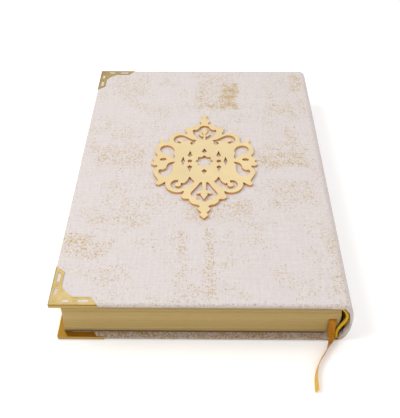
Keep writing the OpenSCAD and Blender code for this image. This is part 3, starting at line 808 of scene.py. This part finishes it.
def case_cloth(name, material, patches, flip, nodes):
    """The printed cloth of one cover with its joint and half of the spine.
    The back one is the front one turned over."""
    prof = case_profile(flip)
    inward = inward_steps(prof)
    flat = {i for i, p in enumerate(prof) if p[1] == TOP and p[0] < COVER_W - 1}
    rings, uvs, weights, wear_and_shade_values = [], [], [], []
    for kind, k in cloth_stations():
        ring, uv = [], []
        for i, (x, z, r, roll, u) in enumerate(prof):
            if kind == "mid":
                y, inset = END + (COVER_L - 2 * END) * k, 0
            else:
                t = math.radians(90 * k / END_STEPS)
                y, inset = r * (1 - math.cos(t)), r * (1 - math.sin(t))
                if kind == "head":
                    y = COVER_L - y
            deep = stepped(x, BACK_JOINT_DEPTH) if flip else 0
            inset -= roll * (1 - min(max((min(y, COVER_L - y) - END - deep) / 1.5, 0), 1))
            px, pz = x + inward[i][0] * inset, z + inward[i][1] * inset
            if i in flat and kind == "mid":
                pz += ripple(x, y, 1.0 if flip else 0.0)
            if flip:
                pz = 2 * MID - pz
            ring.append(world(px, y, pz))
            vy = y - inset if kind == "tail" else y + inset if kind == "head" else y
            uv.append((u * MM, vy * MM))
            weights.append(print_weight(patches, u, vy))
            # wear and painted shade at each point
            wear_and_shade_values.append(wear_and_shade(x, z, y, roll != 0, flip))
        rings.append(ring)
        # the first point closes the loop at u below the last one
        uvs.append(uv + [((prof[-1][4] - 1) * MM, uv[0][1])])
    obj = loft(name, rings, material, uvs, cap_uv=lambda p: (p.x - X0 * MM, p.z - 0.06))
    for layer_name, values in (("print", weights), ("wear_and_shade", wear_and_shade_values)):
        layer = obj.data.attributes.new(layer_name, "FLOAT", "POINT")
        for i, w in enumerate(values):
            layer.data[i].value = w
    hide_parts(*nodes)
    if flip:
        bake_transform(obj)
    else:
        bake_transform(obj)


case_cloth("cover_cloth_front", cloth_front, FRONT_PATCHES, False,
           ["front_cloth", "front_joint_cloth", "spine_cloth"])
case_cloth("cover_cloth_back", cloth_back, BACK_PATCHES, True,
           ["back_cloth", "back_joint_cloth"])


# ---------------------------------------------------------------- leaves
# The fore-edge is flatter than the rounded back, and the upper leaves lean towards the spine.
FORE_EDGE = BLOCK_SPINE - ROUND_OUT - LEAF_W + 0.8
FORE_LEAN = 1.7
FORE_CURVE = 0.15
# how unevenly the leaves are cut, in mm, and how much of its pitch a leaf fills
LEAF_SCATTER = 0.10
LEAF_FILL = 0.96


def leaf_stack(name, node, body, slot, count, rng, fold=False):
    """Separate cut leaves, each a little out of line with the next. A fold rounds the back of a section."""
    lo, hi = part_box(node)
    z0, z1 = lo[2] / MM, hi[2] / MM
    zm = (z0 + z1) / 2
    r = (z1 - z0) / 2
    verts, faces = [], []
    for i in range(count):
        a = z0 + (z1 - z0) * i / count
        b = z0 + (z1 - z0) * (i + LEAF_FILL) / count
        m = (a + b) / 2
        right = spine_x(zm)
        if fold:
            right += -r + math.sqrt(max(r * r - (m - zm) ** 2, 0))
        left = FORE_EDGE + FORE_LEAN * (m - BACK_LO) / (BACK_HI - BACK_LO) + rng.random() * LEAF_SCATTER
        left += (spine_x(m) - BLOCK_SPINE + ROUND_OUT) * FORE_CURVE
        tail, head = TAIL_Y + rng.random() * LEAF_SCATTER, HEAD_Y - rng.random() * LEAF_SCATTER
        k = len(verts)
        corners = ((left, tail), (right, tail), (right, head), (left, head))
        verts += [world(x, y, z) for z in (a, b) for x, y in corners]
        faces += [(k + 3, k + 2, k + 1, k), (k + 4, k + 5, k + 6, k + 7), (k, k + 1, k + 5, k + 4),
                  (k + 1, k + 2, k + 6, k + 5), (k + 2, k + 3, k + 7, k + 6), (k + 3, k, k + 4, k + 7)]
    obj = new_object(name, verts, faces, pages, smooth=False)
    finish_piece(obj, body, slot, node)


rng = random.Random(604)
for i in range(1, 19):
    leaf_stack(f"section_leaves_{i:02d}", f"section_{i:02d}", "text_block", "leaf_paper",
               LEAVES_IN_SECTION, rng, fold=True)
for i in range(1, 5):
    leaf_stack(f"turning_leaves_{i}", f"leaves_{i}", f"leaves_{i}", "leaf_paper", 4, rng)
for side in ("front", "back"):
    leaf_stack(f"{side}_free_endpaper", f"{side}_flyleaf", f"{side}_flyleaf", "end_paper", 1, rng)


FOLD_HALF_T = 0.07


def hinge_fold(side, flip):
    """Endpaper between a pastedown and the leaves."""
    lo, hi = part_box(f"{side}_hinge_paper")
    x0, x1 = lo[0] / MM - X0 - 0.5, hi[0] / MM - X0
    z = (lo[2] + hi[2]) / 2 / MM
    corners = ((TAIL_Y, -FOLD_HALF_T), (HEAD_Y, -FOLD_HALF_T), (HEAD_Y, FOLD_HALF_T), (TAIL_Y, FOLD_HALF_T))
    steps = [x0 + (x1 - 2 - x0) * i / 4 for i in range(4)] + [x1 - 2 + i / 6 for i in range(13)]
    rings = [[world(x, y, z + dz) for y, dz in corners] for x in steps]
    obj = loft(f"{side}_endpaper_fold", rings, endpaper)
    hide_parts(f"{side}_hinge_paper")
    if flip:
        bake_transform(obj)
    else:
        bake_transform(obj)


hinge_fold("front", False)
hinge_fold("back", True)


# ---------------------------------------------------------------- bands
# the bead's line from the back board up to the front one: x, z, and how far it comes out of the book
BAND_LINE = [(170.4, 2.2, 2.4), (170.4, 3.1, 1.5), (170.5, 5.6, 0.2), (171.0, 8.4, 0), (172.2, 12.0, 0),
             (173.9, 16.0, 0), (174.8, 19.8, 0), (174.3, 23.4, 0), (172.7, 26.8, 0), (170.6, 29.2, 0),
             (168.4, 30.6, 0)]
BAND_R = 1.12
RIB_DEPTH = 0.09
BEAD_OUT = 1.2
TAPE_IN = 10


def ribbed_band(side, y_bead, y_tape):
    """Ribbed silk bead that closes the end of the spine, on a tape glued inside it."""
    out = 1 if side == "head" else -1
    line = smooth_run([Vector((x, z, fall)) for x, z, fall in BAND_LINE], 16)
    count, around = len(line) - 1, 16
    rings, uvs = [], []
    run = 0
    for i in range(count + 1):
        if i:
            run += (line[i] - line[i - 1]).length
        t = (line[min(i + 1, count)] - line[max(i - 1, 0)]).normalized()
        across = Vector((t.y, -t.x, 0)).normalized()
        third = t.cross(across)
        rib = BAND_R - RIB_DEPTH + RIB_DEPTH * abs(math.sin(math.pi * run / SILK_TURN))
        end = min(i, count - i) / 6
        rib *= math.sqrt(max(0.03, 1 - (1 - min(end, 1)) ** 2))
        ring, uv = [], []
        for j in range(around + 1):
            a = 2 * math.pi * j / around
            if j < around:
                c = line[i] + across * (rib * math.cos(a)) + third * (rib * math.sin(a))
                ring.append(world(c.x, y_bead + out * c.z, c.y))
            uv.append((a * BAND_R * MM, (run + 0.25 * math.sin(a)) * MM))
        rings.append(ring)
        uvs.append(uv)
    obj = loft(f"{side}band_ribbed", rings, silk, uvs, sharp=60)
    finish_piece(obj, "text_block", "band_silk", f"{side}band")
    rings, uvs = [], []
    for i in range(41):
        f = PANEL_F * 0.94 * (i / 20 - 1)
        p, q = wrap(CLOTH_T + PANEL_T + 0.02, f), wrap(CLOTH_T + PANEL_T + 0.28, f)
        rings.append([world(x, y, z) for (x, z), y in ((p, y_bead), (p, y_tape), (q, y_tape), (q, y_bead))])
        v = q[1] * MM
        uvs.append([(0, v), (0.01, v), (0.01, v), (0, v), (0, v)])
    tape = loft(f"{side}band_tape", rings, silk, uvs, sharp=60)
    finish_piece(tape, "text_block", "band_silk")


ribbed_band("tail", TAIL_Y - BEAD_OUT, TAIL_Y + TAPE_IN)
ribbed_band("head", HEAD_Y + BEAD_OUT, HEAD_Y - TAPE_IN)


# ---------------------------------------------------------------- CAD nodes that stay
def bevel_edges(obj, name, width, angle):
    """Eases the edges sharper than angle degrees, width in mm."""
    mod = obj.modifiers.new(name, "BEVEL")
    mod.width = width * MM
    mod.segments = 2
    mod.limit_method = "ANGLE"
    mod.angle_limit = math.radians(angle)
    return mod


def dress(node, material, bevel=0.0):
    """Gives a CAD node its material and, where asked, eased edges."""
    obj = frame["nodes"][node]
    obj.data.materials.clear()
    obj.data.materials.append(material)
    if bevel:
        bevel_edges(obj, "soft_edges", bevel, 40)


for node in ("front_board", "back_board", "spine_board"):
    dress(node, greyboard)
for node in ("front_pastedown", "back_pastedown"):
    dress(node, pasted)
for node in ("sewing_thread", "spine_mull"):
    dress(node, linen)
dress("spine_lining", kraft)
dress("ribbon_strip", paper_material("ribbon_inner", (0.50, 0.235, 0.018), (0.80, 0.45, 0.08), 1500, 0.4))


# rounding of pressed folds and of cut edges, in mm
PRESSED_R = 0.34
CUT_EASE = 0.06
MEDAL_EASE = 0.16
# how near an edge lies to the plate's outer faces to count as a fold, and its least length, in metres
AT_FACE = 2e-5
AT_COVER = 3e-4
SHORTEST_FOLD = 0.0004


def stamped_corner(node, body, gold):
    """The corner plate with its folds rounded as pressed metal and its cut edges eased, both in a dark metal
    that paints shade along them.
    """
    source = frame["nodes"][node]
    bm = bmesh.new()
    bm.from_mesh(source.data)
    bm.transform(source.matrix_world)
    bmesh.ops.remove_doubles(bm, verts=bm.verts, dist=1e-6)
    bmesh.ops.dissolve_limit(bm, angle_limit=math.radians(1), verts=bm.verts, edges=bm.edges)
    lo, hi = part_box(node)
    outer_y = lo[1] if "tail" in node else hi[1]
    outer_z = hi[2] if "front" in node else lo[2]

    def on_fold(e):
        ends = [v.co for v in e.verts]
        at_x = all(abs(c.x - lo[0]) < AT_FACE for c in ends)
        at_y = all(abs(c.y - outer_y) < AT_FACE for c in ends)
        at_z = all(abs(c.z - outer_z) < AT_COVER for c in ends)
        return at_x + at_y + at_z >= 2 and e.calc_length() > SHORTEST_FOLD

    folds = [e for e in bm.edges if len(e.link_faces) == 2 and e.calc_face_angle(0) > 0.7 and on_fold(e)]
    # the rounded folds take the second, dark material: painted shade along each fold
    bmesh.ops.bevel(bm, geom=folds, offset=PRESSED_R * MM, offset_type="OFFSET", segments=4, profile=0.5,
                    affect="EDGES", clamp_overlap=True, material=1)
    for f in bm.faces:
        f.smooth = True
    for e in bm.edges:
        if len(e.link_faces) == 2 and e.calc_face_angle(0) > math.radians(38):
            e.smooth = False
    mesh = bpy.data.meshes.new(f"{node}_pressed")
    bm.to_mesh(mesh)
    bm.free()
    mesh.materials.append(gold)
    mesh.materials.append(fold_painted_shade)
    obj = bpy.data.objects.new(f"{node}_pressed", mesh)
    bpy.context.scene.collection.objects.link(obj)
    # the eased cut edges take the dark material too: a painted dark outline of shade
    bevel_edges(obj, "eased_edges", CUT_EASE, 50).material = 1
    finish_piece(obj, body, "corner_metal", node)


for side in ("front", "back"):
    for end in ("head", "tail"):
        # the front head corner and the back corners take darker copies of the same gold: painted shade and
        # painted reflection
        gold = corner_painted_reflection if side == "back" else corner_painted_shade if end == "head" else corner_gold
        stamped_corner(f"{side}_corner_{end}", f"{side}_cover", gold)
dress("medallion", medal_gold, MEDAL_EASE)


# ---------------------------------------------------------------- floor
FLOOR_HALF = 3.0
FLOOR_CELLS = 24
FLOOR_DROP = 0.0001


def floor():
    """A plain pale sheet just under the book."""
    g = Graph("paper_sweep")
    at = g.object_coords()
    grain = g.noise(at, 260, 3.0, 0.6, 2.0)
    cloud = g.noise(at, 3, 2.0, 0.5, 9.0)
    amount = g.ramp(g.math("ADD", g.math("MULTIPLY", grain, 0.3), cloud), 0.4, 0.9)
    colour = g.mix(amount, (0.955, 0.955, 0.955), (0.975, 0.975, 0.973))
    mat = g.finish(Base_Color=colour, Roughness=0.9, Emission_Color=(1.0, 1.0, 1.0), Emission_Strength=0.12)
    n = FLOOR_CELLS
    line = [-FLOOR_HALF + 2 * FLOOR_HALF * i / n for i in range(n + 1)]
    verts = [(x, y, -FLOOR_DROP) for y in line for x in line]
    corners = [j * (n + 1) + i for j in range(n) for i in range(n)]
    faces = [(k, k + 1, k + n + 2, k + n + 1) for k in corners]
    new_object("floor", verts, faces, mat, smooth=False)


floor()
